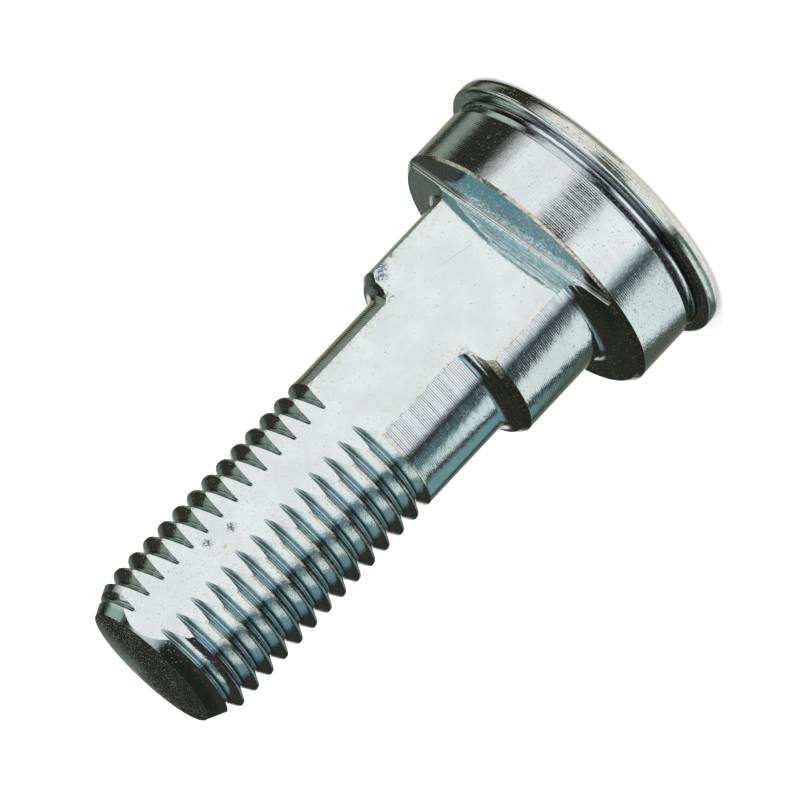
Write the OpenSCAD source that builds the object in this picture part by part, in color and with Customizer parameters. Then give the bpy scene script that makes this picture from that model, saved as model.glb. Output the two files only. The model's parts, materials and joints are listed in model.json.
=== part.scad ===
// Lock screw: one turned piece with a flanged head, a thick collar, a plain
// shank and a coarse right-hand thread. One side is milled flat from the tip
// down to the head, so that the screw locks against turning in its seat.
// It stands on its head: the origin is the centre of the head's outer face,
// +Z runs to the tip and the flat faces -Y.

/* [Head] */
// Diameter of the head
head_d = 28; // [25:0.1:29]
// Height of the head, from its outer face to its bearing face
head_h = 9.4; // [7:0.1:14]
// Chamfer on the head's front edge
head_chamfer = 0.55; // [0.2:0.05:1.2]
// Diameter of the flange at the foot of the head
flange_d = 30.2; // [29.5:0.1:34]
// Thickness of the flange
flange_t = 1.75; // [1.5:0.05:3]
// Rounding of the flange's outer edge
flange_outer_round = 0.85; // [0.2:0.05:1]
// Rounding of the flange's front edge
flange_front_round = 0.4; // [0.1:0.05:0.45]
// Width of the turned groove between the flange and the head
groove_w = 1.6; // [1.3:0.05:3]
// Depth of the turned groove below the head's side
groove_depth = 0.3; // [0.2:0.05:1]
// Length of the slope that rises from the groove to the head's side
groove_slope = 0.75; // [0.2:0.05:1]
// Fillet at the foot of the turned groove
groove_fillet = 0.45; // [0.1:0.05:0.45]

/* [Collar and shank] */
// Diameter of the collar
collar_d = 19.8; // [18.5:0.1:22]
// Length of the collar, from the bearing face to its shoulder
collar_l = 10.6; // [5:0.1:20]
// Chamfer on the collar's front edge
collar_chamfer = 0.6; // [0.2:0.05:0.8]
// Fillet between the collar and the head
collar_fillet = 1.2; // [0.3:0.05:2]
// Diameter of the plain shank
shank_d = 15.9; // [15:0.1:16]
// Length of the plain shank, from the shoulder to the thread
shank_l = 10.5; // [6:0.5:30]
// Fillet between the shank and the shoulder
shank_fillet = 1.3; // [0.3:0.05:1.3]

/* [Thread] */
// Outside diameter of the thread
thread_d = 16; // [15:0.1:17]
// Length of the threaded end, up to the corner of its tip
thread_l = 27.7; // [12:0.1:50]
// Length of the slight cone that leads from the shank to the thread's crests
thread_lead = 0.6; // [0.5:0.05:1]
// Pitch of the thread
thread_pitch = 1.9; // [1.5:0.05:2.5]
// Width of the thread's crest
crest_w = 0.25; // [0.15:0.01:0.35]
// Width of the flat at the root of the thread
root_w = 0.32; // [0.2:0.02:0.6]
// Diameter of the tip's end face
tip_d = 13.2; // [11:0.1:14]
// Length of the cone that leads to the tip
tip_l = 2.9; // [1:0.1:5]
// Rise of the slightly domed end face
tip_dome = 0.4; // [0.1:0.05:1]

/* [Flat] */
// Distance of the milled flat from the screw's axis
flat_offset = 6.68; // [6:0.01:7.2]
// Depth to which the flat's end bites into the bearing face
flat_bite = 0.3; // [0.1:0.05:1]
// Corner radius that the cutter leaves at the end of the flat
flat_corner = 0.5; // [0.2:0.05:1]

/* [Hidden] */

// Segments of a full circle in the preview
circle_steps = 96;
// Segments in each turn of the thread
turn_steps = 32;
// Share of a turn in which the thread's groove runs out at the shank
runout_turns = 0.4;
// How far a cutter reaches past the surface that it cuts
past = 0.11;
// Slope of the thread's flanks, for a thread angle of 60 degrees
flank_slope = tan(30);

head_r = head_d / 2;
flange_r = flange_d / 2;
groove_r = head_r - groove_depth;
groove_top = flange_t + groove_w;
collar_r = collar_d / 2;
shoulder_z = head_h + collar_l;
shank_r = shank_d / 2;
thread_z = shoulder_z + shank_l;
thread_r = thread_d / 2;
thread_depth = (thread_pitch - crest_w - root_w) / 2 / flank_slope;
root_r = thread_r - thread_depth;
tip_z = thread_z + thread_l;
tip_r = tip_d / 2;
dome_r = (tip_r * tip_r + tip_dome * tip_dome) / (2 * tip_dome);
total_l = tip_z + tip_dome;
flat_end_z = head_h - flat_bite;
// The fillet at the shoulder stays on the shoulder's flat face
shoulder_fillet = min(shank_fillet, collar_r - collar_chamfer - shank_r);

// Half the width of the thread's groove at a radius
function groove_half_w(r) =
    (thread_pitch - crest_w) / 2 - (thread_r - r) * flank_slope;

// Turned outline of the screw, on the right of its axis
module turned_outline() {
    polygon([
        [0, 0],
        [flange_r, 0],
        [flange_r, flange_t],
        [groove_r, flange_t],
        [groove_r, groove_top - groove_slope],
        [head_r, groove_top],
        [head_r, head_h - head_chamfer],
        [head_r - head_chamfer, head_h],
        [collar_r, head_h],
        [collar_r, shoulder_z - collar_chamfer],
        [collar_r - collar_chamfer, shoulder_z],
        [shank_r, shoulder_z],
        [shank_r, thread_z],
        [thread_r, thread_z + thread_lead],
        [thread_r, tip_z - tip_l],
        [tip_r, tip_z],
        [0, tip_z]
    ]);
}

// What lies between a corner and the arc that rounds it, with the corner at
// the origin and the arc above and to the right
module corner_piece(r) {
    difference() {
        square(r);
        translate([r, r]) circle(r = r, $fn = circle_steps);
    }
}

// Fillets in the outline's inner corners
module fillets() {
    translate([groove_r, flange_t]) corner_piece(groove_fillet);
    translate([collar_r, head_h]) corner_piece(collar_fillet);
    translate([shank_r, shoulder_z]) corner_piece(shoulder_fillet);
}

// Roundings of the flange's two edges
module flange_roundings() {
    translate([flange_r, 0]) mirror([1, 0]) corner_piece(flange_outer_round);
    translate([flange_r, flange_t]) rotate(180) corner_piece(flange_front_round);
}

// Domed end face, as a slice of a large circle
module tip_cap() {
    intersection() {
        translate([0, total_l - dome_r]) circle(r = dome_r, $fn = circle_steps);
        translate([0, tip_z - tip_dome]) square([tip_r, 2 * tip_dome]);
    }
}

// The screw as it leaves the lathe, before its thread is cut
module turned_blank() {
    rotate_extrude($fn = circle_steps) {
        difference() {
            union() {
                turned_outline();
                fillets();
                tip_cap();
            }
            flange_roundings();
        }
    }
}

// Helical groove of the thread, as one closed body to be cut away. Each step
// has four corners: two at the root and two just outside the crest. The groove
// starts over the +X axis, where the shank ends. There its section lies outside
// the screw, and it sinks to full depth over the run-out.
module thread_groove() {
    outer_r = thread_r + past;
    end_z = total_l + groove_half_w(outer_r);
    steps = ceil(turn_steps * (end_z - thread_z) / thread_pitch);
    runout_steps = turn_steps * runout_turns;
    section = [
        [root_r, -groove_half_w(root_r)],
        [root_r, groove_half_w(root_r)],
        [outer_r, groove_half_w(outer_r)],
        [outer_r, -groove_half_w(outer_r)]
    ];
    corners = len(section);
    points = [
        for (i = [0:steps])
            let (
                angle = 360 * i / turn_steps,
                z = thread_z + thread_pitch * i / turn_steps,
                lift = (thread_depth + past) * max(0, 1 - i / runout_steps)
            )
            for (p = section)
                [(p[0] + lift) * cos(angle), (p[0] + lift) * sin(angle), z + p[1]]
    ];
    sides = [
        for (i = [0:steps - 1])
            for (k = [0:corners - 1])
                let (
                    a = i * corners + k,
                    b = i * corners + (k + 1) % corners
                )
                each [[a, a + corners, b], [b, a + corners, b + corners]]
    ];
    last = steps * corners;
    ends = [
        [0, 1, 2, 3],
        [last + 3, last + 2, last + 1, last]
    ];
    polyhedron(points = points, faces = concat(sides, ends));
}

// Room that the milling cutter takes: all that lies in front of the flat, from
// the bite in the bearing face to past the tip
module flat_cutter() {
    reach = flange_d;
    rotate([90, 0, 90])
        linear_extrude(height = reach, center = true)
            difference() {
                translate([-reach, flat_end_z])
                    square([reach - flat_offset, total_l]);
                translate([-flat_offset, flat_end_z])
                    mirror([1, 0]) corner_piece(flat_corner);
            }
}

module lock_screw() {
    color([0.80, 0.83, 0.84])
        difference() {
            turned_blank();
            thread_groove();
            flat_cutter();
        }
}

lock_screw();
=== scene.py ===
"""Lock screw: a turned and milled screw with a thread and one flat side, in zinc-plated steel."""

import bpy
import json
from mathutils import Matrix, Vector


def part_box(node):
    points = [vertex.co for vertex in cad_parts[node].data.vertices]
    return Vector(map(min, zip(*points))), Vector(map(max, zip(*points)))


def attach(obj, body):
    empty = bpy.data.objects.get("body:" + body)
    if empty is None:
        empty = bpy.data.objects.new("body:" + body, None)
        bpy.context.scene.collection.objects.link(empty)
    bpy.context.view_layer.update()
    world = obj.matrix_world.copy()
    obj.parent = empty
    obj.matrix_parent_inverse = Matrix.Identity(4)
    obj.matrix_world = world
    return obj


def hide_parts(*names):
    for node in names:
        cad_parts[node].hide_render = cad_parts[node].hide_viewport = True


bl_info = {
    "name": "Lock Screw",
    "version": (1, 0, 0),
    "blender": (4, 5, 0),
    "location": "3D View > Sidebar > Lock Screw",
    "description": "Adds a zinc-plated lock screw and a small photo studio",
    "category": "Add Mesh",
}

import json
from math import asin, ceil, cos, degrees, pi, radians, sin, sqrt, tan

import bmesh
import bpy
from bpy.props import FloatProperty, FloatVectorProperty, IntProperty, PointerProperty
from mathutils import Matrix, Vector

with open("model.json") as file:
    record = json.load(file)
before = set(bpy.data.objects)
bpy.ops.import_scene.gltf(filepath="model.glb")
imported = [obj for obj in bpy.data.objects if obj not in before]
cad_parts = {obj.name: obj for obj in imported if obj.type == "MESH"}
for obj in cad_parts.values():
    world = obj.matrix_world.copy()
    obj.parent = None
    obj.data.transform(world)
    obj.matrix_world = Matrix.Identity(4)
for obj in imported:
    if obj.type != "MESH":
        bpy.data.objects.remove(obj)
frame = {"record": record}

MM = 0.001
NODE = "lock_screw"
BODY = "root"

CAD_LOW, CAD_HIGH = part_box(NODE)
MOUNTS = {mount["name"]: mount for mount in frame["record"]["mounts"]}


# Sizes, colours and studio values that a user would change

def length(name, description, default):
    """A length in metres, shown in the scene's own unit."""
    return FloatProperty(
        name=name, description=description, default=default, min=0, unit="LENGTH", precision=5
    )


def colour(name, description, default):
    """A linear colour."""
    return FloatVectorProperty(
        name=name, description=description, default=default, min=0, max=1, size=3, subtype="COLOR"
    )


def share(name, description, default):
    """A number from 0 to 1."""
    return FloatProperty(
        name=name, description=description, default=default, min=0, max=1, subtype="FACTOR"
    )


class ScrewSizes(bpy.types.PropertyGroup):
    """Sizes of the turned screw and its milled flat."""

    total_l: length("Length", "From the head's outer face to the tip", CAD_HIGH.z)
    flange_d: length("Flange diameter", "Across the flange", CAD_HIGH.x - CAD_LOW.x)
    flange_t: length("Flange thickness", "Thickness of the flange", 1.75 * MM)
    flange_outer_round: length("Flange outer rounding", "Edge at the outer face", 0.85 * MM)
    flange_front_round: length("Flange front rounding", "Edge towards the tip", 0.4 * MM)
    head_d: length("Head diameter", "Across the head", 2 * MM * MOUNTS["head_side"]["dims"]["r_mm"])
    head_h: length("Head height", "Up to the bearing face", MOUNTS["bearing_face"]["pos_m"][2])
    head_chamfer: length("Head chamfer", "Chamfer on the head's front edge", 0.55 * MM)
    groove_w: length("Groove width", "Turned groove behind the flange", 1.6 * MM)
    groove_depth: length("Groove depth", "Below the head's side", 0.3 * MM)
    groove_slope: length("Groove slope", "From the groove up to the head's side", 0.75 * MM)
    groove_fillet: length("Groove fillet", "Fillet at the groove's foot", 0.45 * MM)
    collar_d: length("Collar diameter", "Across the collar", 19.8 * MM)
    collar_l: length("Collar length", "Length of the collar", 10.6 * MM)
    collar_chamfer: length("Collar chamfer", "Chamfer on the collar's shoulder", 0.6 * MM)
    collar_fillet: length("Collar fillet", "Between collar and head", 1.2 * MM)
    shank_d: length("Shank diameter", "Across the plain shank", 2 * MM * MOUNTS["shank"]["dims"]["r_mm"])
    shank_l: length("Shank length", "From the shoulder to the thread", 10.5 * MM)
    shank_fillet: length("Shank fillet", "Between shank and shoulder", 1.3 * MM)
    edge_round: length("Edge rounding", "Wear on the turned edges", 0.1 * MM)
    flat_offset: length("Flat offset", "From the axis to the flat", -MOUNTS["milled_flat"]["pos_m"][1])
    flat_bite: length("Flat bite", "Depth of the flat's end in the bearing face", 0.3 * MM)
    flat_corner: length("Flat corner", "Corner radius of the milling cutter", 0.5 * MM)
    columns: IntProperty(name="Columns", description="Facets round the screw", default=240, min=24)


class ThreadSizes(bpy.types.PropertyGroup):
    """Sizes of the thread and the tip."""

    outer_d: length("Thread diameter", "Across the thread's crests", 16 * MM)
    pitch: length("Pitch", "Distance between crests", 1.9 * MM)
    crest_w: length("Crest width", "Width of the flat crest", 0.25 * MM)
    root_w: length("Root width", "Width of the flat root", 0.32 * MM)
    root_round: length("Root rounding", "Rounding at the root", 0.24 * MM)
    crest_wear: length("Crest wear", "How far the crest's edges are worn down", 0.06 * MM)
    lead: length("Lead", "Cone between shank and crests", 0.6 * MM)
    runout_turns: FloatProperty(
        name="Run-out", description="Turns in which the groove runs out", default=0.4, min=0.1, max=1
    )
    tip_d: length("Tip diameter", "Across the end face", 13.2 * MM)
    tip_l: length("Tip length", "Length of the cone at the tip", 2.9 * MM)
    tip_dome: length("Tip dome", "Rise of the end face", 0.4 * MM)
    turn_steps: IntProperty(name="Turn steps", description="Facets in each turn", default=144, min=24)


class ScrewFinish(bpy.types.PropertyGroup):
    """Colours of the plating and its wear, and of painted shade."""

    zinc: colour("Zinc", "Bright plate", (0.80, 0.86, 0.86))
    blue_zinc: colour("Blue zinc", "Plate on the thread", (0.88, 0.93, 0.93))
    rim_zinc: colour("Rim zinc", "Plate on the flange's rim", (0.85, 0.85, 0.79))
    warm_zinc: colour("Warm zinc", "Plate on the worn edges", (0.80, 0.74, 0.66))
    violet: colour("Violet", "Film at the foot of the wall", (0.55, 0.55, 0.85))
    ink: colour("Ink", "Blue-violet stains at the collar's corner", (0.12, 0.14, 0.24))
    # root: painted blue-green shade towards the thread's root
    root: colour("Root", "Film at the thread's root", (0.26, 0.40, 0.42))
    grime: colour("Grime", "Brown dirt on worn edges", (0.20, 0.17, 0.12))
    # soot: real dark specks, pits and stains, and also the painted shade between the turning marks
    soot: colour("Soot", "Dark specks and pits", (0.05, 0.05, 0.045))
    rust: colour("Rust", "Light brown stains", (0.70, 0.45, 0.24))
    roughness: share("Roughness", "Roughness of the bright plate", 0.05)
    feed: length("Feed", "Distance between the turning marks", 0.19 * MM)


class StudioSizes(bpy.types.PropertyGroup):
    """The floor, the lamp, the tent of cards and the camera."""

    floor_r: length("Floor radius", "Radius of the floor", 4.0)
    tent_r: length("Tent radius", "Radius of the tent of cards", 0.3)
    floor_colour: colour("Floor", "Colour of the floor", (0.88, 0.88, 0.88))
    floor_lift: share("Floor lift", "Light added to the floor that the camera sees", 0.2)
    world_colour: colour("World", "Colour of the room's light", (0.75, 0.75, 0.75))
    lamp_power: FloatProperty(
        name="Lamp power", description="Power of the lamp", default=6, min=0, unit="POWER"
    )
    lamp_size: length("Lamp size", "Side of the square lamp", 0.6)
    lamp_place: FloatVectorProperty(
        name="Lamp place", description="Where the lamp hangs", size=3, subtype="TRANSLATION",
        default=(0.1, -0.2, 0.9),
    )
    azimuth: FloatProperty(
        name="Azimuth", description="Direction of the camera, from +X towards +Y",
        default=radians(-116.593), subtype="ANGLE",
    )
    elevation: FloatProperty(
        name="Elevation", description="Height of the camera over the horizon",
        default=radians(14.653), subtype="ANGLE",
    )
    roll: FloatProperty(
        name="Roll", description="Turn of the picture about the view direction",
        default=radians(136.803), subtype="ANGLE",
    )
    aim: FloatVectorProperty(
        name="Aim", description="Point that the camera looks at", size=3, subtype="TRANSLATION",
        default=(0.137 * MM, -0.068 * MM, 25.469 * MM), precision=6,
    )
    distance: length("Distance", "From the camera to its aim", 658.64 * MM)
    lens: FloatProperty(name="Lens", description="Focal length in millimetres", default=337.5)


# Outlines

# Slope of the thread's flanks, for a thread angle of 60 degrees
FLANK_SLOPE = tan(radians(30))
# Widening of the thread's groove to each side, over its way out from the crests' worn edges
OUTER_FLARE = 1.1
# Turn between two points of an arc: in the screw's outline, the thread's section and the flat's corner
OUTLINE_STEP = radians(10)
THREAD_STEP = radians(15)
CORNER_STEP = radians(6)
# Steps from the edge of the domed tip to its middle
DOME_STEPS = 6


def round_corners(corners, step=OUTLINE_STEP, closed=False):
    """Points of an outline of (x, y, radius) corners, with an arc at each corner that has a radius."""
    points = []
    count = len(corners)
    for i, (x, y, radius) in enumerate(corners):
        here = Vector((x, y))
        if radius == 0 or (not closed and i in (0, count - 1)):
            points.append(here)
            continue
        before = Vector(corners[i - 1][:2]) - here
        after = Vector(corners[(i + 1) % count][:2]) - here
        opening = before.angle(after)
        turn = pi - opening
        reach = radius * tan(turn / 2)
        start = here + before.normalized() * reach
        bisector = (before.normalized() + after.normalized()).normalized()
        centre = here + bisector * radius / sin(opening / 2)
        spoke = start - centre
        side = 1 if before.cross(after) < 0 else -1
        steps = max(2, ceil(turn / step))
        for k in range(steps + 1):
            points.append(centre + Matrix.Rotation(side * turn * k / steps, 2) @ spoke)
    return points


def shoulder_height(s):
    """Height of the collar's shoulder."""
    return s.head_h + s.collar_l


def thread_start(s):
    """Height at which the plain shank ends and the thread starts."""
    return shoulder_height(s) + s.shank_l


def turned_outline(s, t):
    """The screw's outline from the middle of its outer face to the middle of its tip."""
    edge = s.edge_round
    flange_r = s.flange_d / 2
    head_r = s.head_d / 2
    groove_r = head_r - s.groove_depth
    groove_top = s.flange_t + s.groove_w
    collar_r = s.collar_d / 2
    shoulder_z = shoulder_height(s)
    shank_r = s.shank_d / 2
    thread_z = thread_start(s)
    thread_r = t.outer_d / 2
    tip_z = s.total_l - t.tip_dome
    tip_r = t.tip_d / 2
    outline = round_corners([
        (0, 0, 0),
        (flange_r, 0, s.flange_outer_round),
        (flange_r, s.flange_t, s.flange_front_round),
        (groove_r, s.flange_t, s.groove_fillet),
        (groove_r, groove_top - s.groove_slope, edge),
        (head_r, groove_top, edge),
        (head_r, s.head_h - s.head_chamfer, edge),
        (head_r - s.head_chamfer, s.head_h, edge),
        (collar_r, s.head_h, s.collar_fillet),
        (collar_r, shoulder_z - s.collar_chamfer, edge),
        (collar_r - s.collar_chamfer, shoulder_z, edge),
        (shank_r, shoulder_z, s.shank_fillet),
        (shank_r, thread_z, 0),
        (thread_r, thread_z + t.lead, 0),
        (thread_r, tip_z - t.tip_l, edge),
        (tip_r, tip_z, 0),
    ])
    dome_r = (tip_r ** 2 + t.tip_dome ** 2) / (2 * t.tip_dome)
    dome_half = asin(tip_r / dome_r)
    for k in range(1, DOME_STEPS + 1):
        angle = dome_half * (1 - k / DOME_STEPS)
        outline.append(Vector((dome_r * sin(angle), s.total_l - dome_r + dome_r * cos(angle))))
    return outline


def groove_half_w(t, r):
    """Half the width of the thread's groove at a radius."""
    return (t.pitch - t.crest_w) / 2 - (t.outer_d / 2 - r) * FLANK_SLOPE


def root_radius(t):
    """Radius of the thread's root."""
    return t.outer_d / 2 - (t.pitch - t.crest_w - t.root_w) / 2 / FLANK_SLOPE


def groove_section(t):
    """Section of the thread's groove as points of (radius, height), and how deep it is. The edges of the
    crests are worn and the root is rounded."""
    root_r = root_radius(t)
    worn_r = t.outer_d / 2 - t.crest_wear
    past_r = t.outer_d / 2 + t.crest_wear
    worn_w = groove_half_w(t, worn_r)
    past_w = worn_w + (past_r - worn_r) * OUTER_FLARE
    clear_r = past_r + t.crest_wear
    half = [
        (root_r, groove_half_w(t, root_r), t.root_round),
        (worn_r, worn_w, t.crest_wear),
        (past_r, past_w, 0),
        (clear_r, past_w, 0),
    ]
    corners = half + [(r, -w, radius) for r, w, radius in reversed(half)]
    return round_corners(corners, THREAD_STEP, closed=True), clear_r - root_r


# Mesh tools

def add_object(name, data):
    """A new object in the scene."""
    added = bpy.data.objects.new(name, data)
    bpy.context.scene.collection.objects.link(added)
    return added


def add_mesh(name, vertices, faces):
    """A new mesh object in the scene."""
    mesh = bpy.data.meshes.new(name)
    mesh.from_pydata(vertices, [], faces)
    mesh.update()
    return add_object(name, mesh)


def revolve(name, outline, columns):
    """A closed body, turned from an outline whose two ends lie on the axis."""
    rings = outline[1:-1]
    vertices = [(0, 0, outline[0].y), (0, 0, outline[-1].y)]
    for r, z in rings:
        for k in range(columns):
            angle = 2 * pi * k / columns
            vertices.append((r * cos(angle), r * sin(angle), z))
    faces = []
    last = 2 + (len(rings) - 1) * columns
    for k in range(columns):
        after = (k + 1) % columns
        faces.append((0, 2 + after, 2 + k))
        faces.append((1, last + k, last + after))
        for i in range(len(rings) - 1):
            low = 2 + i * columns
            high = low + columns
            faces.append((low + k, low + after, high + after, high + k))
    return add_mesh(name, vertices, faces)


def helix(name, s, t):
    """The thread's groove, which sinks in from above the shank's end over its run-out."""
    section, depth = groove_section(t)
    thread_z = thread_start(s)
    steps = ceil(t.turn_steps * (s.total_l + t.pitch - thread_z) / t.pitch)
    runout_steps = t.turn_steps * t.runout_turns
    count = len(section)
    vertices = []
    for i in range(steps + 1):
        angle = 2 * pi * i / t.turn_steps
        z = thread_z + t.pitch * i / t.turn_steps
        lift = depth * max(0, 1 - i / runout_steps)
        for r, up in section:
            vertices.append(((r + lift) * cos(angle), (r + lift) * sin(angle), z + up))
    faces = [tuple(range(count)), tuple(steps * count + k for k in reversed(range(count)))]
    for i in range(steps):
        for k in range(count):
            a = i * count + k
            b = i * count + (k + 1) % count
            faces.append((a, a + count, b + count, b))
    return add_mesh(name, vertices, faces)


def flat_block(name, s):
    """What the milling cutter takes away in front of the flat."""
    reach = s.flange_d
    end_z = s.head_h - s.flat_bite
    section = round_corners([
        (-s.flat_offset, end_z, s.flat_corner),
        (-s.flat_offset, s.total_l + reach, 0),
        (-reach, s.total_l + reach, 0),
        (-reach, end_z, 0),
    ], CORNER_STEP, closed=True)
    count = len(section)
    vertices = [(x, y, z) for x in (-reach, reach) for y, z in section]
    faces = [tuple(range(count)), tuple(count + k for k in reversed(range(count)))]
    for k in range(count):
        after = (k + 1) % count
        faces.append((k, k + count, after + count, after))
    return add_mesh(name, vertices, faces)


def outward(piece):
    """Turns the faces of a closed mesh outward."""
    mesh = bmesh.new()
    mesh.from_mesh(piece.data)
    bmesh.ops.recalc_face_normals(mesh, faces=mesh.faces)
    mesh.to_mesh(piece.data)
    mesh.free()


def cut(piece, cutter):
    """Takes the cutter's body out of the piece and removes the cutter."""
    outward(cutter)
    modifier = piece.modifiers.new("cut", "BOOLEAN")
    modifier.operation = "DIFFERENCE"
    modifier.solver = "MANIFOLD"
    modifier.object = cutter
    apply_modifiers(piece)
    bpy.data.objects.remove(cutter)


def apply_modifiers(piece):
    """Makes the modifiers' result the piece's own mesh."""
    result = piece.evaluated_get(bpy.context.evaluated_depsgraph_get())
    old = piece.data
    piece.data = bpy.data.meshes.new_from_object(result)
    piece.data.name = old.name
    piece.modifiers.clear()
    bpy.data.meshes.remove(old)


def shade_smooth(piece, angle):
    """Smooth shading that large faces lead, with sharp edges past an angle."""
    piece.data.shade_smooth()
    piece.data.set_sharp_from_angle(angle=angle)
    modifier = piece.modifiers.new("normals", "WEIGHTED_NORMAL")
    modifier.mode = "FACE_AREA"
    modifier.keep_sharp = True
    apply_modifiers(piece)


# Materials

# Stains on the flat, in millimetres from the part's origin: across, up, size, share and colour
FLAT_STAINS = [
    (4.06, 26.0, 0.45, 0.35, "rust"),
    (-4.0, 23.1, 0.35, 0.35, "rust"),
    (6.5, 19.3, 0.9, 0.9, "ink"),
    (7.0, 18.6, 0.8, 0.9, "ink"),
    (7.2, 17.2, 0.4, 0.8, "ink"),
    (-0.5, 47.3, 0.35, 0.8, "rust"),
    (0.9, 48.0, 0.7, 0.9, "soot"),
    (0.3, 45.6, 0.7, 0.9, "soot"),
]
# A fine scratch on the flat, in millimetres: its place across, its two ends, the heights between which it is
# full, and its lean
SCRATCH_X = 2.1
SCRATCH_LOW = 11.9
SCRATCH_FULL_LOW = 12.2
SCRATCH_FULL_HIGH = 14.6
SCRATCH_HIGH = 15.8
SCRATCH_SLOPE = 0.26
# The cutter's streaks where the flat runs up to the wall: their painted blue-green reflection, and in
# millimetres how far they reach in the middle and at most, how that changes across, how ragged they end, how
# far below the wall's foot the reach is counted from, and their height
STREAK_PAINTED_REFLECTION = (0.34, 0.54, 0.54)
STREAK_MIDDLE = 2.0
STREAK_MOST = 1.9
STREAK_LEAN = -0.23
STREAK_RAGGED = 0.8
STREAK_BELOW = 0.3
STREAK_HEIGHT = 0.045
# Colours on the wall at the flat's end: painted blue-green shade and reflection on most of it, dark in
# patches, painted glints in specks, and dull at its two ends
WALL_PAINTED_SHADE = (0.22, 0.32, 0.34)
WALL_DARK = (0.07, 0.12, 0.13)
WALL_GLINT = (0.90, 1.0, 1.0)
WALL_END = (0.22, 0.24, 0.21)
# Painted shade in the rings of the turned groove, and how soft their edges are, in millimetres
GROOVE_RING_SHADE = (0.07, 0.10, 0.12)
RING_EDGE = 0.05
# Shade of the plate's darker clouds
CLOUD_SHADE = 0.93
# How fast the turning marks vary round the screw and along it, how far they stray in millimetres, and their
# least strength and its variation
MARK_ROUND = 0.08
MARK_ALONG = 3.0
MARK_STRAY = 0.06
MARK_LEAST = 0.6
MARK_VARIATION = 0.6
# Where the marks and their painted shade start to fade out and where they fade most, as X over the radius
MARK_FADE_FROM = -0.80
MARK_FADE_MOST = -0.90
# Noise at which pits start, how much a full share and clear plate lower it, and how much more noise makes a
# full pit
PIT_START = 0.94
PIT_SHARE = 0.5
PIT_CLEAR = 0.05
PIT_EDGE = 0.05
# Roughness inside a pit
PIT_ROUGHNESS = 0.55


class Nodes:
    """Adds nodes to one node tree."""

    def __init__(self, tree):
        self.tree = tree
        tree.nodes.clear()

    def add(self, kind, settings=None, **inputs):
        """A node with its settings and inputs. An input is called by its name, with _ for a space, or by i
        and its number. It is a value or another node's output."""
        node = self.tree.nodes.new(kind)
        for name, value in (settings or {}).items():
            setattr(node, name, value)
        for name, value in inputs.items():
            key = int(name[1:]) if name[0] == "i" and name[1:].isdigit() else name.replace("_", " ")
            socket = node.inputs[key]
            if isinstance(value, bpy.types.NodeSocket):
                self.tree.links.new(value, socket)
            else:
                socket.default_value = value
        return node

    def math(self, operation, a, b=0.0, c=0.0):
        """Result of a math node."""
        return self.add("ShaderNodeMath", {"operation": operation}, i0=a, i1=b, i2=c).outputs[0]

    def times(self, product, *factors):
        """Product of two or more values."""
        for factor in factors:
            product = self.math("MULTIPLY", product, factor)
        return product

    def smooth(self, value, zero, one):
        """A smooth step from 0, at the value given as zero, to 1, at the value given as one."""
        node = self.add(
            "ShaderNodeMapRange", {"interpolation_type": "SMOOTHSTEP"},
            Value=value, From_Min=zero, From_Max=one,
        )
        return node.outputs["Result"]

    def mix(self, share, a, b):
        """Colour a with a share of colour b over it."""
        return self.add("ShaderNodeMix", {"data_type": "RGBA"}, i0=share, i6=a, i7=b).outputs[2]

    def noise(self, vector, scale, detail=2.0, roughness=0.5):
        """Value of a noise texture."""
        node = self.add(
            "ShaderNodeTexNoise", Vector=vector, Scale=scale, Detail=detail, Roughness=roughness
        )
        return node.outputs["Fac"]

    def scaled(self, vector, scale):
        """A vector stretched by a scale for each axis."""
        node = self.add("ShaderNodeVectorMath", {"operation": "MULTIPLY"}, i0=vector, i1=scale)
        return node.outputs[0]


def rgba(values):
    """A colour with its alpha."""
    return (*values, 1.0)


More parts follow.
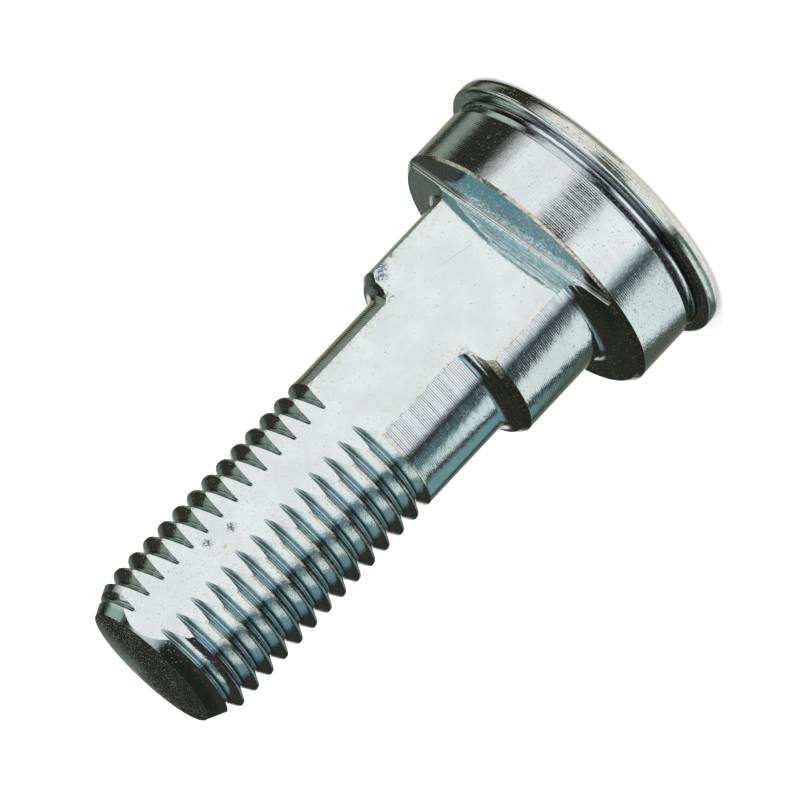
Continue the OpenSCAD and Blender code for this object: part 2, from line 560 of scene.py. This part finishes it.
class Surface:
    """The nodes, place and driving values that one finish is made from. Lengths are in millimetres."""

    def __init__(self, material, finish, tint):
        self.nodes = nodes = Nodes(material.node_tree)
        self.finish = finish
        place = nodes.add("ShaderNodeTexCoord").outputs["Object"]
        self.mm = nodes.scaled(place, (1 / MM, 1 / MM, 1 / MM))
        self.x, self.y, self.z = nodes.add("ShaderNodeSeparateXYZ", Vector=self.mm).outputs
        squares = nodes.math("ADD", nodes.times(self.x, self.x), nodes.times(self.y, self.y))
        self.radius = nodes.math("SQRT", squares)
        clouds = nodes.noise(self.mm, scale=0.35, detail=4.0, roughness=0.6)
        self.clear = nodes.smooth(clouds, zero=0.35, one=0.65)
        self.base = nodes.mix(self.clear, rgba([CLOUD_SHADE * c for c in tint]), rgba(tint))
        self.height = 0.0
        self.rough = nodes.math("MULTIPLY_ADD", clouds, finish.roughness, finish.roughness / 2)

    def dull(self, share, roughness):
        """Makes a share of the surface rougher."""
        gap = self.nodes.math("SUBTRACT", roughness, self.rough)
        self.rough = self.nodes.math("MULTIPLY_ADD", gap, share, self.rough)

    def paint(self, share, tint, strength=1.0):
        """Lays a colour over a share of the surface, thinned by a strength below 1."""
        if strength != 1.0:
            share = self.nodes.times(share, strength)
        self.base = self.nodes.mix(share, self.base, rgba(tint))

    def raise_by(self, amount, height):
        """Adds a height, in millimetres, times an amount."""
        self.height = self.nodes.math("MULTIPLY_ADD", height, amount, self.height)

    def patches(self, scale, zero, one, detail=3.0):
        """Patches of noise, from 0 to 1."""
        return self.nodes.smooth(self.nodes.noise(self.mm, scale, detail, roughness=0.65), zero, one)

    def spot(self, x, z, size):
        """A ragged round spot on the flat, from 0 to 1."""
        nodes = self.nodes
        centre = nodes.add("ShaderNodeCombineXYZ", X=x, Y=self.y, Z=z).outputs[0]
        away = nodes.add("ShaderNodeVectorMath", {"operation": "DISTANCE"}, i0=self.mm, i1=centre)
        uneven = nodes.noise(self.mm, scale=4.0, detail=4.0, roughness=0.7)
        ragged = nodes.math("MULTIPLY_ADD", uneven, 2 * size, away.outputs["Value"])
        return nodes.smooth(ragged, zero=1.9 * size, one=1.2 * size)

    def turning_marks(self, depth, dark, worn, along):
        """Shallow arcs that the turning tool leaves, one for each turn of the feed, with painted shade
        between them. A share of the arcs and of their painted shade fades out on the side that faces -X,
        which leaves that side lighter."""
        nodes = self.nodes
        stretched = nodes.add(
            "ShaderNodeCombineXYZ",
            X=nodes.times(self.x, MARK_ROUND),
            Y=nodes.times(self.y, MARK_ROUND),
            Z=nodes.times(along, MARK_ALONG),
        ).outputs[0]
        uneven = nodes.noise(stretched, scale=1.0, detail=2.0, roughness=0.6)
        strayed = nodes.math("MULTIPLY_ADD", uneven, MARK_STRAY, along)
        turns = nodes.math("DIVIDE", strayed, self.finish.feed / MM)
        off_middle = nodes.times(nodes.math("PINGPONG", turns, 0.5), 2.0)
        varied = nodes.smooth(uneven, zero=0.35, one=0.65)
        strength = nodes.math("MULTIPLY_ADD", varied, MARK_VARIATION, MARK_LEAST)
        toward_x = nodes.math("DIVIDE", self.x, self.radius)
        faded_side = nodes.smooth(toward_x, zero=MARK_FADE_FROM, one=MARK_FADE_MOST)
        left_over = nodes.math("MULTIPLY_ADD", faded_side, -worn, 1.0)
        arc = nodes.times(nodes.times(off_middle, off_middle), nodes.times(strength, left_over))
        self.raise_by(depth, arc)
        # painted shade between the turning marks, lighter on the -X side where the marks fade
        self.paint(nodes.smooth(arc, zero=0.25, one=0.9), self.finish.soot, strength=dark)

    def pits(self, depth, dark, share):
        """Small dull pits, which show light where the plate is dark and dark where it is bright."""
        nodes = self.nodes
        peaks = nodes.noise(self.mm, scale=5.0, detail=2.0, roughness=0.65)
        start = nodes.math("SUBTRACT", PIT_START - PIT_SHARE * share, nodes.times(self.clear, PIT_CLEAR))
        pit = nodes.smooth(peaks, zero=start, one=nodes.math("ADD", start, PIT_EDGE))
        self.raise_by(-depth, pit)
        self.dull(pit, PIT_ROUGHNESS)
        self.paint(pit, self.finish.soot, strength=dark)


def zinc(
    name, finish, tint, dress=None, lines=0.0, line_dark=0.5, worn=0.0, across="z",
    pits=0.010, pit_share=0.5, dark=0.3, waves=0.004, grime=0.0,
):
    """Plated steel, with its lengths in millimetres.

    dress: adds a surface's own marks
    lines, line_dark: depth of the turning marks, which run round the axis, and how dark their painted shade
    is
    worn: share of them and of their painted shade that fades out on the side that faces -X
    across: "z" for marks spaced along the axis, and "radius" for those of a faced end
    pits, pit_share, dark: depth of the pits, how many there are and how dark they are
    waves: height of the plate's unevenness
    grime: share of brown dirt
    """
    material = bpy.data.materials.new(name)
    material.use_nodes = True
    surface = Surface(material, finish, tint)
    nodes = surface.nodes
    surface.raise_by(waves, nodes.noise(surface.mm, scale=5.0, detail=3.0, roughness=0.6))
    surface.raise_by(2 * waves, nodes.noise(surface.mm, scale=1.1, detail=1.0))
    if grime:
        dirty = surface.patches(scale=2.6, zero=0.45, one=0.62, detail=5.0)
        surface.paint(dirty, finish.grime, strength=grime)
    if lines:
        surface.turning_marks(lines, line_dark, worn, surface.radius if across == "radius" else surface.z)
    surface.pits(pits, dark, pit_share)
    if dress:
        dress(surface)
    bump = nodes.add("ShaderNodeBump", Strength=1.0, Distance=MM, Height=surface.height)
    shader = nodes.add(
        "ShaderNodeBsdfPrincipled", Base_Color=surface.base, Metallic=1.0, Roughness=surface.rough,
        Normal=bump.outputs[0],
    )
    nodes.add("ShaderNodeOutputMaterial", Surface=shader.outputs[0])
    return material


def paint_edges(surface, s):
    """Brown stains and dirt along the flat's two long edges."""
    nodes = surface.nodes
    collar_r = s.collar_d / 2 / MM
    shank_r = s.shank_d / 2 / MM
    beside_collar = nodes.math("LESS_THAN", surface.z, shoulder_height(s) / MM)
    side_r = nodes.math("MULTIPLY_ADD", beside_collar, collar_r - shank_r, shank_r)
    inward = nodes.math("SUBTRACT", side_r, surface.radius)
    stained = surface.patches(scale=2.2, zero=0.52, one=0.66, detail=5.0)
    near_edge = nodes.smooth(inward, zero=1.3, one=0.0)
    surface.paint(nodes.times(near_edge, stained), surface.finish.rust, strength=0.35)
    dirty = surface.patches(scale=3.0, zero=0.46, one=0.6, detail=4.0)
    at_edge = nodes.smooth(inward, zero=0.16, one=0.0)
    surface.paint(nodes.times(at_edge, dirty), surface.finish.grime, strength=0.7)


def paint_stains(surface):
    """Broken stains on the flat, and fine dark pits that grow more towards the tip."""
    nodes = surface.nodes
    broken = surface.patches(scale=4.5, zero=0.40, one=0.52, detail=4.0)
    for x, z, size, stained, tint in FLAT_STAINS:
        stain = nodes.times(surface.spot(x, z, size), stained, broken)
        surface.paint(stain, getattr(surface.finish, tint))
    toward_tip = nodes.smooth(surface.z, zero=20.0, one=50.0)
    fine_pits = surface.patches(scale=6.5, zero=0.64, one=0.70, detail=2.0)
    surface.paint(nodes.times(fine_pits, toward_tip), surface.finish.soot, strength=0.5)


def paint_scratch(surface):
    """A fine leaning scratch on the flat."""
    nodes = surface.nodes
    start_x = SCRATCH_X - SCRATCH_LOW * SCRATCH_SLOPE
    line_x = nodes.math("MULTIPLY_ADD", surface.z, SCRATCH_SLOPE, start_x)
    off_line = nodes.math("ABSOLUTE", nodes.math("SUBTRACT", surface.x, line_x))
    scratch = nodes.times(
        nodes.smooth(off_line, zero=0.04, one=0.01),
        nodes.smooth(surface.z, zero=SCRATCH_HIGH, one=SCRATCH_FULL_HIGH),
        nodes.smooth(surface.z, zero=SCRATCH_LOW, one=SCRATCH_FULL_LOW),
    )
    surface.paint(scratch, surface.finish.soot, strength=0.35)


def paint_streaks(surface, s):
    """The cutter's streaks, where the flat runs up to the wall, with a painted blue-green reflection on them.
    """
    nodes = surface.nodes
    foot_z = (s.head_h - s.flat_bite) / MM
    uneven = nodes.noise(nodes.scaled(surface.mm, (0.22, 0, 4.0)), scale=1.0, detail=3.0, roughness=0.65)
    reach = nodes.math("MULTIPLY_ADD", surface.x, STREAK_LEAN, STREAK_MIDDLE)
    end_z = nodes.math("ADD", nodes.math("MINIMUM", reach, STREAK_MOST), foot_z - STREAK_BELOW)
    inside = nodes.math("SUBTRACT", nodes.math("MULTIPLY_ADD", uneven, STREAK_RAGGED, end_z), surface.z)
    lines = nodes.noise(nodes.scaled(surface.mm, (0.16, 0, 5.5)), scale=1.0, detail=4.0, roughness=0.6)
    full = nodes.smooth(inside, zero=0.0, one=0.5)
    streaks = nodes.times(nodes.smooth(lines, zero=0.47, one=0.56), full)
    # painted blue-green reflection on the streaks
    surface.paint(streaks, STREAK_PAINTED_REFLECTION, strength=0.6)
    deep = nodes.times(streaks, nodes.smooth(lines, zero=0.60, one=0.66))
    surface.paint(deep, surface.finish.ink, strength=0.7)
    surface.raise_by(STREAK_HEIGHT, nodes.times(lines, nodes.smooth(inside, zero=0.0, one=0.2)))


def dress_flat(s):
    """Marks of the milled flat: stains, pits, a scratch and the cutter's streaks with their painted
    reflection.
    """
    def dress(surface):
        paint_edges(surface, s)
        paint_stains(surface)
        paint_scratch(surface)
        paint_streaks(surface, s)

    return dress


def dress_wall(s):
    """Marks of the wall at the flat's end: painted blue-green shade and reflection with dark patches, painted
    glints as bright specks and a violet film near its foot, and dull ends."""
    def dress(surface):
        nodes = surface.nodes
        out = nodes.math("SUBTRACT", -s.flat_offset / MM, surface.y)
        beyond_foot = nodes.smooth(out, zero=0.5, one=0.8)
        near_foot = nodes.times(nodes.smooth(out, zero=3.2, one=1.4), beyond_foot)
        # painted blue-green shade and reflection over the wall past its foot
        surface.paint(beyond_foot, WALL_PAINTED_SHADE)
        dark = surface.patches(scale=3.0, zero=0.44, one=0.56, detail=5.0)
        surface.paint(nodes.times(dark, nodes.smooth(out, zero=0.9, one=1.6)), WALL_DARK, strength=0.6)
        broken = surface.patches(scale=0.7, zero=0.46, one=0.56)
        violet = nodes.times(nodes.smooth(out, zero=2.0, one=1.2), broken, beyond_foot)
        surface.paint(violet, surface.finish.violet, strength=0.6)
        fine = nodes.noise(surface.mm, scale=4.0, detail=3.0, roughness=0.7)
        # painted glints: bright specks, most near the wall's foot
        specks = nodes.math("MULTIPLY_ADD", near_foot, 0.13, fine)
        surface.paint(nodes.smooth(specks, zero=0.58, one=0.66), WALL_GLINT)
        uneven = surface.patches(scale=2.5, zero=0.3, one=0.7)
        ragged_x = nodes.math("MULTIPLY_ADD", uneven, 0.8, surface.x)
        surface.paint(nodes.smooth(ragged_x, zero=4.8, one=7.4), WALL_END, strength=0.9)
        surface.paint(nodes.smooth(surface.x, zero=-8.5, one=-9.6), WALL_END)
        surface.raise_by(0.01, fine)

    return dress


def dress_groove(s):
    """Painted shade in rings in the turned groove: in its fillet, on its floor and along the head's edge."""
    foot_z = s.flange_t / MM
    top_z = (s.flange_t + s.groove_w) / MM
    rings = [
        (foot_z + 0.12, foot_z + 0.42),
        (foot_z + 0.68, foot_z + 0.92),
        (top_z + 0.02, top_z + 0.2),
    ]

    def dress(surface):
        nodes = surface.nodes
        uneven = nodes.noise(nodes.scaled(surface.mm, (0.5, 0.5, 2.0)), scale=2.0, detail=4.0, roughness=0.7)
        z = nodes.math("MULTIPLY_ADD", uneven, 0.16, surface.z)
        for low, high in rings:
            above = nodes.smooth(z, zero=low, one=low + RING_EDGE)
            below = nodes.smooth(z, zero=high + RING_EDGE, one=high)
            # painted shade in each ring
            surface.paint(nodes.times(above, below), GROOVE_RING_SHADE, strength=0.85)

    return dress


def dress_thread_root_shade(t):
    """Painted shade: the thread's flanks grow darker and blue-green towards the root."""
    root_r = root_radius(t) / MM

    def dress(surface):
        root_shade_share = surface.nodes.smooth(surface.radius, zero=root_r + 0.34, one=root_r + 0.05)
        # painted shade, darker and blue-green towards the root
        surface.paint(root_shade_share, surface.finish.root, strength=0.7)

    return dress


def zinc_finishes(s, t, finish):
    """The finish of each kind of surface, by its name."""
    plate = tuple(finish.zinc)
    blue = tuple(finish.blue_zinc)
    warm = tuple(finish.warm_zinc)
    return {
        "head": zinc(
            "head_side", finish, plate, lines=0.0045, line_dark=0.12, worn=0.85, waves=0.006
        ),
        "turned": zinc(
            "turned_side", finish, plate, lines=0.0055, line_dark=0.7, worn=0.85, waves=0.005
        ),
        "flat": zinc(
            "milled_flat", finish, plate, dress_flat(s), pits=0.004, pit_share=0.44, waves=0.002
        ),
        "wall": zinc("milled_wall", finish, plate, dress_wall(s)),
        "face": zinc("faced_end", finish, plate, lines=0.002, across="radius", grime=0.2),
        "rim": zinc(
            "flange_rim", finish, tuple(finish.rim_zinc), lines=0.003, line_dark=0.3, worn=0.8,
            pits=0.02, pit_share=0.54, waves=0.006, grime=0.2,
        ),
        "groove": zinc("turned_groove", finish, plate, dress_groove(s), waves=0.006),
        "thread": zinc("thread_flank", finish, blue, dress_thread_root_shade(t), pits=0.008, waves=0.010),
        "crest": zinc("thread_crest", finish, warm, waves=0.012, grime=0.35),
        "edge": zinc("worn_edge", finish, warm, pits=0.02, waves=0.02, grime=0.6),
        "tip": zinc(
            "tip_end", finish, plate, pits=0.03, pit_share=0.6, dark=0.0, waves=0.008, grime=0.2
        ),
    }


# How far a face may lie off a surface and still belong to it
NEAR = 0.02 * MM
# Least part of a normal along -Y on the flat, and most of it along X on the wall
STRAIGHT = 0.999
ALONG_X = 0.01
# Part of a normal along the axis: below the first a side, past the second a slope, past the third a flat face
UPRIGHT = 0.05
SLOPED = 0.2
LEVEL = 0.99


def milled_surface(face, s):
    """Name of the milled surface that a face lies on, or None."""
    x, y, z = face.center
    r = sqrt(x * x + y * y)
    if face.normal.y < -STRAIGHT and abs(y + s.flat_offset) < NEAR:
        return "flat"
    foot_z = s.head_h - s.flat_bite
    in_front = y < -s.flat_offset + NEAR and foot_z - NEAR < z < foot_z + s.flat_corner
    if in_front and abs(face.normal.x) < ALONG_X and r < s.head_d / 2 + NEAR and z < s.head_h - NEAR:
        return "wall"
    return None


def turned_surface(face, s, t):
    """Name of the turned surface that a face lies on."""
    x, y, z = face.center
    r = sqrt(x * x + y * y)
    up = face.normal.z
    thread_z = thread_start(s)
    if z > s.total_l - t.tip_dome - NEAR:
        return "tip"
    if z > thread_z and r > t.outer_d / 2 - t.crest_wear:
        return "crest"
    if z > thread_z - t.pitch / 2:
        return "thread" if z > thread_z or abs(up) > SLOPED else "turned"
    if z < s.flange_t - s.flange_front_round / 2:
        return "rim"
    if z < s.flange_t + s.groove_w + NEAR:
        return "groove"
    if abs(up) < UPRIGHT:
        return "head" if z < s.head_h else "turned"
    beside_head_edge = r > s.head_d / 2 - s.head_chamfer - s.edge_round
    beside_shoulder = abs(z - shoulder_height(s)) < s.collar_chamfer + s.edge_round
    outside = r > s.collar_d / 2 - s.collar_chamfer
    if up <= LEVEL and outside and (beside_head_edge or beside_shoulder):
        return "edge"
    return "face"


def lay_finishes(piece, s, t, finish):
    """Gives each face the finish of the surface it lies on."""
    finishes = zinc_finishes(s, t, finish)
    names = list(finishes)
    piece.data.materials.clear()
    for name in names:
        piece.data.materials.append(finishes[name])
    indices = []
    for face in piece.data.polygons:
        name = milled_surface(face, s) or turned_surface(face, s, t)
        indices.append(names.index(name))
    piece.data.polygons.foreach_set("material_index", indices)


# Angle between two faces past which their edge is shaded sharp
SHARP_ANGLE = radians(24)


class SCREW_OT_piece(bpy.types.Operator):
    """Turns, threads and mills the lock screw and lays its finishes"""

    bl_idname = "lock_screw.piece"
    bl_label = "Lock Screw"

    def execute(self, context):
        s = context.scene.screw_sizes
        t = context.scene.screw_thread
        piece = revolve("lock_screw_body", turned_outline(s, t), s.columns)
        outward(piece)
        cut(piece, helix("thread_cutter", s, t))
        cut(piece, flat_block("flat_cutter", s))
        shade_smooth(piece, SHARP_ANGLE)
        lay_finishes(piece, s, t, context.scene.screw_finish)
        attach(piece, BODY)
        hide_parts(NODE)
        return {"FINISHED"}


# Studio

# The tent's cards, painted one over the other: left, right, low and high limit, softness round and up, lean
# of the left and of the right edge, and colour. Limits and softness are in degrees, round from the camera's
# direction and up from the horizon. A lean is in degrees round for each degree up from eye level.
CARDS = [
    # the floor's glow from below, duller at the left
    (-180, 20, -90, -24, 6, 6, 0, 0, (0.86, 0.88, 0.86)),
    (-40, 40, -90, -2, 8, 3, 0, 0, (0.80, 0.84, 0.82)),
    (20, 180, -90, -55, 6, 5, 0, 0, (0.40, 0.40, 0.34)),
    # blue-green wall at the right, with a dark part beside the first soft box and a blue-green one below it
    (-138, -66, -30, 4, 6, 7, -0.6, 0, (0.17, 0.31, 0.33)),
    (-82, -58, -17, -8.8, 5, 0.6, 0, 0, (0.04, 0.06, 0.06)),
    (-92, -54, -30, -17, 5, 0.6, 0, 0, (0.10, 0.18, 0.19)),
    # dull low part of that wall, and a pale card with a black line at its left border
    (-150, -126, -30, -12, 5, 1, 0, 3.9, (0.09, 0.10, 0.075)),
    (-122, -69, -17, -8.8, 5, 0.6, 3.9, -3.1, (0.78, 0.86, 0.83)),
    (-132, -121, -14, -6, 3, 1.5, 3.9, 3.9, (0.02, 0.03, 0.03)),
    # first large soft box, pale blue above and white below, with a dark strip above the white
    (-51, -6, -50, 30, 8, 3, 0, 0, (0.46, 0.66, 0.74)),
    (-51, -6, -50, -3, 8, 5, 0, 0, (0.97, 0.98, 0.97)),
    (-51, -22, 0, 10, 6, 3, 0, 0, (0.05, 0.08, 0.10)),
    # second large soft box, with a blue-green sheet before its upper part
    (17, 69, -60, 68, 12, 6, 0, 0, (0.93, 0.95, 0.94)),
    (38, 70, 9, 25, 3, 2, 0, 0, (0.36, 0.64, 0.67)),
    # narrow white card beside it
    (82, 105, -5, 6, 4, 1.5, 0, 0, (0.95, 0.96, 0.94)),
    # the dark gap between the soft boxes, black at its foot
    (-9, 18, -18.5, -10, 7, 0.4, 0, 0, (0.03, 0.04, 0.04)),
    (-10, 17, -2, 27, 9, 3, -0.3, 0.1, (0.15, 0.19, 0.18)),
    # narrow grey-green card at the left
    (115, 133, -30, -11.5, 6, 1, 0.4, 0.4, (0.28, 0.31, 0.25)),
    (107, 136, -11.5, 12, 6, 1, 0, 0.4, (0.25, 0.30, 0.24)),
    # pale wall above it, nearly white at its top, and a dark strip far behind
    (92, 128, 20, 56, 8, 4, 0, 0, (0.57, 0.65, 0.57)),
    (98, 172, 47, 91, 8, 5, 0, 0, (0.85, 0.90, 0.87)),
    (150, 181, 4, 20, 8, 1.5, 0, 0, (0.12, 0.15, 0.13)),
    # brown-grey wall far behind, darker at the right
    (148, 181, -21, -4, 6, 2, 0, 0, (0.28, 0.28, 0.20)),
    (-181, -150, -21, -4, 6, 2, 0, 0, (0.15, 0.18, 0.13)),
    # white ceiling
    (-85, 100, 60, 91, 12, 4, 0, 0, (0.86, 0.90, 0.88)),
]
# Colour between the cards
GAP = (0.028, 0.030, 0.024)
# Round card behind the screw: its direction, its height, the radii where it ends and where it is full, in
# degrees, and its colour
DISC_AROUND = 180
DISC_HEIGHT = -6
DISC_OUTER = 20
DISC_INNER = 8
DISC_COLOUR = (0.97, 0.98, 0.96)
# How finely the tent and the floor are divided
TENT_SUBDIVISIONS = 5
FLOOR_SEGMENTS = 96
# Width of the camera's sensor in millimetres
SENSOR_WIDTH = 36


def card_share(nodes, around, height, eye, card):
    """How far a direction lies inside a card, from 0 to 1."""
    left, right, low, high, soft_round, soft_up, lean_left, lean_right = card
    rise = nodes.math("SUBTRACT", height, eye)
    above = nodes.smooth(height, zero=low - soft_up, one=low + soft_up)
    below = nodes.smooth(height, zero=high + soft_up, one=high - soft_up)
    inside = nodes.times(above, below)
    if left > -180:
        leant = nodes.math("SUBTRACT", around, nodes.times(rise, lean_left))
        past_left = nodes.smooth(leant, zero=left - soft_round, one=left + soft_round)
        inside = nodes.times(inside, past_left)
    if right < 180:
        leant = nodes.math("SUBTRACT", around, nodes.times(rise, lean_right))
        before_right = nodes.smooth(leant, zero=right + soft_round, one=right - soft_round)
        inside = nodes.times(inside, before_right)
    return inside


def disc_share(nodes, direction):
    """How far a direction, turned with the camera, lies inside the round card, from 0 to 1."""
    level = cos(radians(DISC_HEIGHT))
    centre = (
        level * cos(radians(DISC_AROUND)),
        level * sin(radians(DISC_AROUND)),
        sin(radians(DISC_HEIGHT)),
    )
    toward = nodes.add("ShaderNodeVectorMath", {"operation": "DOT_PRODUCT"}, i0=direction, i1=centre)
    off = nodes.times(nodes.math("ARCCOSINE", toward.outputs["Value"]), degrees(1))
    return nodes.smooth(off, zero=DISC_OUTER, one=DISC_INNER)


def tent_material(studio):
    """Cards by their direction from the foot of the screw."""
    material = bpy.data.materials.new("tent_cards")
    material.use_nodes = True
    material.cycles.emission_sampling = "NONE"
    nodes = Nodes(material.node_tree)
    place = nodes.add("ShaderNodeNewGeometry").outputs["Position"]
    direction = nodes.add("ShaderNodeVectorMath", {"operation": "NORMALIZE"}, i0=place).outputs[0]
    turned = nodes.add(
        "ShaderNodeVectorRotate", {"rotation_type": "Z_AXIS"}, Vector=direction, Angle=-studio.azimuth
    ).outputs[0]
    x, y, z = nodes.add("ShaderNodeSeparateXYZ", Vector=turned).outputs
    around = nodes.times(nodes.math("ARCTAN2", y, x), degrees(1))
    height = nodes.times(nodes.math("ARCSINE", z), degrees(1))
    eye = -degrees(studio.elevation)
    light = rgba(GAP)
    for *card, tint in CARDS:
        light = nodes.mix(card_share(nodes, around, height, eye, card), light, rgba(tint))
    light = nodes.mix(disc_share(nodes, turned), light, rgba(DISC_COLOUR))
    emission = nodes.add("ShaderNodeEmission", Color=light, Strength=1.0)
    nodes.add("ShaderNodeOutputMaterial", Surface=emission.outputs[0])
    return material


def add_tent(studio):
    """A sphere of cards round the screw, which only its polished surfaces see."""
    mesh = bpy.data.meshes.new("card_tent")
    shape = bmesh.new()
    bmesh.ops.create_icosphere(shape, subdivisions=TENT_SUBDIVISIONS, radius=studio.tent_r)
    shape.to_mesh(mesh)
    shape.free()
    tent = add_object("card_tent", mesh)
    mesh.materials.append(tent_material(studio))
    tent.visible_camera = False
    tent.visible_diffuse = False
    tent.visible_transmission = False
    tent.visible_volume_scatter = False
    tent.visible_shadow = False


def floor_material(studio):
    """Pale floor that keeps the screw's shadow, a little brighter where the camera sees it."""
    material = bpy.data.materials.new("studio_floor")
    material.use_nodes = True
    nodes = Nodes(material.node_tree)
    surface = nodes.add("ShaderNodeBsdfDiffuse", Color=rgba(studio.floor_colour))
    seen = nodes.add("ShaderNodeLightPath").outputs["Is Camera Ray"]
    strength = nodes.times(seen, studio.floor_lift)
    lift = nodes.add("ShaderNodeEmission", Color=(1, 1, 1, 1), Strength=strength)
    both = nodes.add("ShaderNodeAddShader", i0=surface.outputs[0], i1=lift.outputs[0])
    nodes.add("ShaderNodeOutputMaterial", Surface=both.outputs[0])
    return material


def add_floor(studio):
    """A wide round floor at the foot of the screw."""
    mesh = bpy.data.meshes.new("studio_floor")
    shape = bmesh.new()
    bmesh.ops.create_circle(shape, cap_ends=True, segments=FLOOR_SEGMENTS, radius=studio.floor_r)
    shape.to_mesh(mesh)
    shape.free()
    floor = add_object("studio_floor", mesh)
    mesh.materials.append(floor_material(studio))
    floor.visible_glossy = False


def light_room(studio):
    """Pale room light, white where the camera sees it."""
    world = bpy.data.worlds.new("studio_room")
    bpy.context.scene.world = world
    world.use_nodes = True
    nodes = Nodes(world.node_tree)
    seen = nodes.add("ShaderNodeLightPath").outputs["Is Camera Ray"]
    tint = nodes.mix(seen, rgba(studio.world_colour), (1, 1, 1, 1))
    background = nodes.add("ShaderNodeBackground", Color=tint, Strength=1.0)
    nodes.add("ShaderNodeOutputWorld", Surface=background.outputs[0])


def add_lamp(studio):
    """One soft lamp over the screw, for its shadow on the floor."""
    light = bpy.data.lights.new("soft_lamp", "AREA")
    light.energy = studio.lamp_power
    light.size = studio.lamp_size
    lamp = add_object("soft_lamp", light)
    lamp.location = studio.lamp_place
    lamp.rotation_euler = Vector(lamp.location).to_track_quat("Z", "Y").to_euler()
    lamp.visible_glossy = False


def add_camera(studio):
    """The camera, rolled as the picture is."""
    away = Vector((
        cos(studio.elevation) * cos(studio.azimuth),
        cos(studio.elevation) * sin(studio.azimuth),
        sin(studio.elevation),
    ))
    level_right = Vector((0, 0, 1)).cross(away).normalized()
    level_up = away.cross(level_right)
    up = level_up * cos(studio.roll) + level_right * sin(studio.roll)
    right = up.cross(away)
    data = bpy.data.cameras.new("camera")
    data.lens = studio.lens
    data.sensor_width = SENSOR_WIDTH
    camera = add_object("camera", data)
    turn = Matrix((right, up, away)).transposed().to_4x4()
    camera.matrix_world = Matrix.Translation(Vector(studio.aim) + away * studio.distance) @ turn
    bpy.context.scene.camera = camera


class SCREW_OT_stage(bpy.types.Operator):
    """Sets up the floor, the room light, the lamp, the tent of cards and the camera"""

    bl_idname = "lock_screw.stage"
    bl_label = "Studio"

    def execute(self, context):
        studio = context.scene.screw_studio
        add_camera(studio)
        add_floor(studio)
        light_room(studio)
        add_lamp(studio)
        add_tent(studio)
        context.scene.view_settings.view_transform = "Standard"
        return {"FINISHED"}


class SCREW_PT_panel(bpy.types.Panel):
    """Lists the operators in the sidebar"""

    bl_idname = "SCREW_PT_panel"
    bl_label = "Lock Screw"
    bl_space_type = "VIEW_3D"
    bl_region_type = "UI"
    bl_category = "Lock Screw"

    def draw(self, context):
        for operator in OPERATORS:
            self.layout.operator(operator.bl_idname)
        for group in GROUPS:
            box = self.layout.box()
            values = getattr(context.scene, group)
            for name in GROUPS[group].__annotations__:
                box.prop(values, name)


OPERATORS = [SCREW_OT_stage, SCREW_OT_piece]
GROUPS = {
    "screw_sizes": ScrewSizes,
    "screw_thread": ThreadSizes,
    "screw_finish": ScrewFinish,
    "screw_studio": StudioSizes,
}


def register():
    for group, kind in GROUPS.items():
        bpy.utils.register_class(kind)
        setattr(bpy.types.Scene, group, PointerProperty(type=kind))
    for kind in OPERATORS + [SCREW_PT_panel]:
        bpy.utils.register_class(kind)


def unregister():
    for kind in [SCREW_PT_panel] + OPERATORS:
        bpy.utils.unregister_class(kind)
    for group, kind in GROUPS.items():
        delattr(bpy.types.Scene, group)
        bpy.utils.unregister_class(kind)


def main():
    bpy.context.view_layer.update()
    register()
    bpy.ops.lock_screw.stage()
    bpy.ops.lock_screw.piece()


if __name__ == "__main__":
    main()
